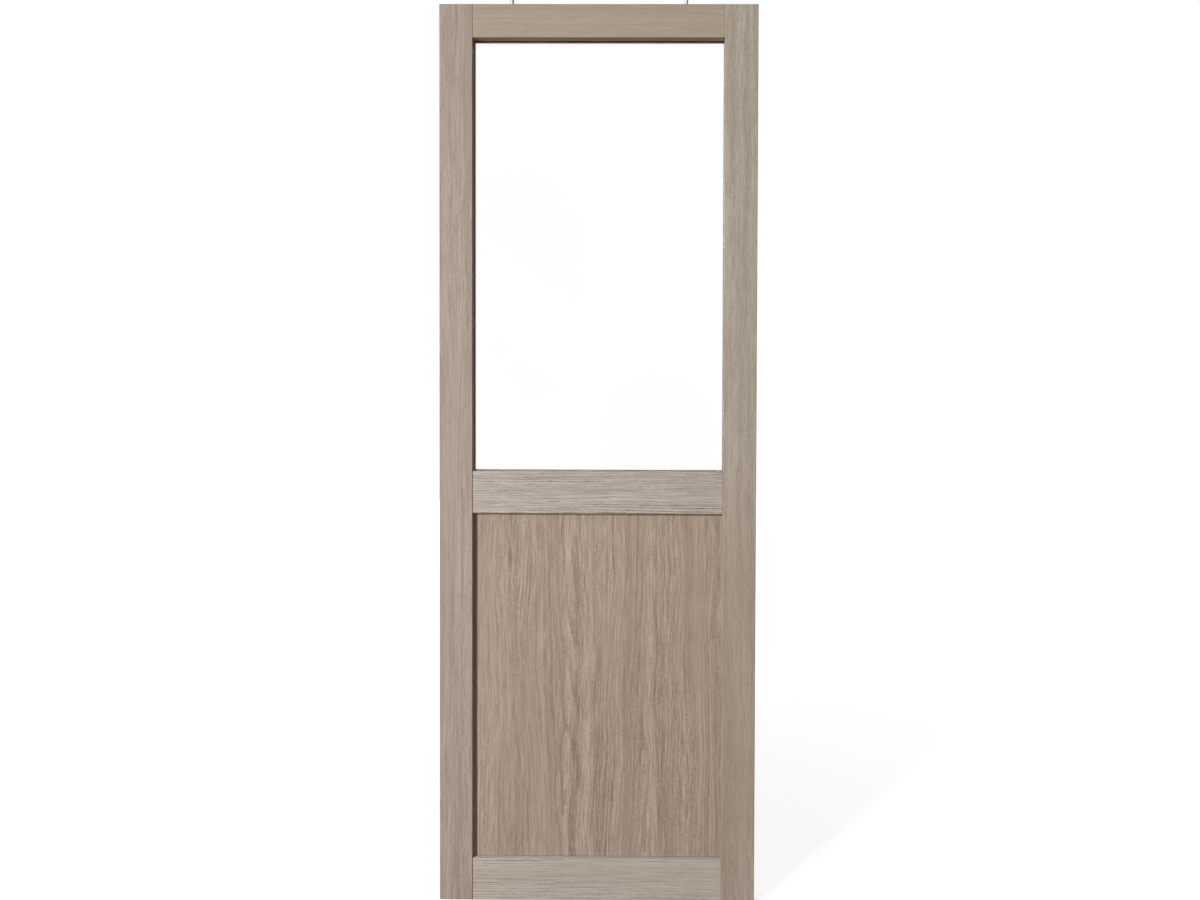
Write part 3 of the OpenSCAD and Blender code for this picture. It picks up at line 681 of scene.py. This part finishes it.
tree, sockets, given = new_tree("bolt_threads", {
    "Radius": "NodeSocketFloat", "Turns": "NodeSocketFloat", "Rise": "NodeSocketFloat",
    "Ridge": "NodeSocketFloat", "First": "NodeSocketVector", "Second": "NodeSocketVector",
})
helix = add(tree, "GeometryNodeCurveSpiral", {
    "Resolution": TURN_STEPS, "Rotations": given["Turns"], "Height": given["Rise"],
    "Start Radius": given["Radius"], "End Radius": given["Radius"],
})
section = add(tree, "GeometryNodeCurvePrimitiveCircle", {
    "Resolution": RIDGE_SIDES, "Radius": given["Ridge"],
})
ridge = add(tree, "GeometryNodeCurveToMesh", {"Curve": helix, "Profile Curve": section, "Fill Caps": True})
ends = add(tree, "GeometryNodeMeshLine", {
    "Count": 2, "Start Location": given["First"], "Offset": given["Second"],
}, mode="END_POINTS")
threads = add(tree, "GeometryNodeInstanceOnPoints", {"Points": ends, "Instance": ridge})
end_tree(tree, threads, zinc)

bolt_low, bolt_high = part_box("left_hanger_bolt")
other_low, other_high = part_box("right_hanger_bolt")
thread_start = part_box("hanger_lock_nuts")[1].z
thread_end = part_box("left_trolley")[0].z
bake(tree, sockets, {
    "Radius": SHANK_RADIUS - RIDGE_SUNK,
    "Turns": (thread_end - thread_start) / THREAD_PITCH,
    "Rise": thread_end - thread_start,
    "Ridge": RIDGE,
    "First": ((bolt_low.x + bolt_high.x) / 2, 0, thread_start),
    "Second": ((other_low.x + other_high.x) / 2, 0, thread_start),
})

# %% [markdown]
# ## Floor
#
# The floor is plain and pale. It takes the door's shadow, and its warm tone throws a little warm light up
# under the rails. More light would make it white, but would bleach the door too. So it has a glow that only
# the picture sees, a little cool to balance the floor's own tone. The glow rises to full white away from the
# leaf, so the shadow shows and the floor's edge doesn't.
#
# Light Path tells which rays make up the picture: those that come from the camera, from a mirror or through
# glass. A ray that has met a dull surface before only brings light to that surface, so it doesn't count.

# %% Floor
FLOOR_HALF = 6.0
FLOOR_CORNERS = ((-1, -1), (1, -1), (1, 1), (-1, 1))
FLOOR_TONE = "#94856D"
FLOOR_ROUGHNESS = 0.9
GLOW_TONE = "#F4F8FF"
NEAR_GLOW = 0.86
FAR_GLOW = 1.08
FADE_FROM = 0.6
FADE_TO = 3.6
FIRST_BOUNCE = 0.5


def seen_directly(tree):
    """1 for rays that make up the picture, in the open, in a mirror or through glass, and else 0."""
    rays = add(tree, "ShaderNodeLightPath").outputs
    plain = add(tree, "ShaderNodeMath", (rays["Is Camera Ray"], rays["Is Glossy Ray"]), operation="MAXIMUM")
    seen = add(tree, "ShaderNodeMath", (plain, rays["Is Transmission Ray"]), operation="MAXIMUM")
    fresh = add(tree, "ShaderNodeMath", (rays["Diffuse Depth"], FIRST_BOUNCE), operation="LESS_THAN")
    return add(tree, "ShaderNodeMath", (seen, fresh), operation="MULTIPLY")


floor_mesh = bpy.data.meshes.new("floor")
corners = [(leaf_middle.x + x * FLOOR_HALF, y * FLOOR_HALF, 0.0) for x, y in FLOOR_CORNERS]
floor_mesh.from_pydata(corners, [], [range(len(corners))])
floor = bpy.data.objects.new("floor", floor_mesh)
scene.collection.objects.link(floor)

# To the eye the floor is an almost white ground with a soft shadow on it.
floor_material, tree = new_material("pale_floor")
place = add(tree, "ShaderNodeTexCoord").outputs["Object"]
foot = (leaf_middle.x, leaf_middle.y, 0.0)
away = add(tree, "ShaderNodeVectorMath", (place, foot), operation="DISTANCE")
glow = add(tree, "ShaderNodeMapRange", (away, FADE_FROM, FADE_TO, NEAR_GLOW, FAR_GLOW))
end_material(tree, {
    "Base Color": linear(FLOOR_TONE),
    "Roughness": FLOOR_ROUGHNESS,
    "Specular IOR Level": 0.0,
    "Emission Color": linear(GLOW_TONE),
    "Emission Strength": add(tree, "ShaderNodeMath", (seen_directly(tree), glow), operation="MULTIPLY"),
})
floor_mesh.materials.append(floor_material)
print("floor", 2 * FLOOR_HALF, "m wide")

# %% [markdown]
# ## Background and sky
#
# The background is white for the rays that make up the picture. For all others the world is a much weaker
# sky, brighter above than below, as a room's ceiling is, so that the wood keeps its own colour. A white wall
# behind the door could do the same, but it would show its edges from other sides.

# %% World
WHITE = (1.0, 1.0, 1.0, 1.0)
SKY_TINT = "#F4E7E0"
SKY_HEIGHTS = (-0.6, 0.8)
SKY_STRENGTHS = (0.06, 0.4)

world = bpy.data.worlds.new("white_room")
scene.world = world
world.use_nodes = True
tree = world.node_tree
tree.nodes.clear()
direction = add(tree, "ShaderNodeTexCoord").outputs["Generated"]
height = add(tree, "ShaderNodeSeparateXYZ", (direction,)).outputs["Z"]
sky = add(tree, "ShaderNodeMapRange", (height, *SKY_HEIGHTS, *SKY_STRENGTHS))
seen = seen_directly(tree)
layered = {MIX_SHARE: seen, MIX_UNDER: linear(SKY_TINT), MIX_OVER: WHITE}
backdrop = add(tree, "ShaderNodeBackground", {
    "Color": add(tree, "ShaderNodeMix", layered, data_type="RGBA"),
    "Strength": add(tree, "ShaderNodeMath", (sky, seen), operation="MAXIMUM"),
})
add(tree, "ShaderNodeOutputWorld", {"Surface": backdrop})
print("sky", SKY_STRENGTHS[0], "below and", SKY_STRENGTHS[1], "above")

# %% [markdown]
# ## Lamps
#
# One lamp stands far off to the upper left, and its angle sets the width of the dark line beside the panel.
# A weak one stands close by on the left and makes that side a little brighter. The third stands far off
# behind the door, so that the back is lit as plainly as the front. Area lamps suit all three, because their
# size softens the shadows as a window does.

# %% Lamps
# Each row: name, direction from the middle of the leaf, distance in metres, size in metres, and watts.
LAMPS = (
    ("window_light", Vector((-0.82, -1.0, 0.5)), 14.0, 1.1, 1400.0),
    ("side_light", Vector((-1.0, -1.0, 0.15)), 2.2, 0.6, 16.5),
    ("back_light", Vector((-0.7, 1.0, 0.55)), 14.0, 1.1, 1100.0),
)
for name, direction, distance, size, watts in LAMPS:
    lamp_data = bpy.data.lights.new(name, "AREA")
    lamp_data.size = size
    lamp_data.energy = watts
    lamp = bpy.data.objects.new(name, lamp_data)
    lamp.location = leaf_middle + direction.normalized() * distance
    lamp.rotation_euler = direction.to_track_quat("Z", "Y").to_euler()
    scene.collection.objects.link(lamp)
    print(name, "at", [round(v, 2) for v in lamp.location])
scene.view_settings.view_transform = "Standard"
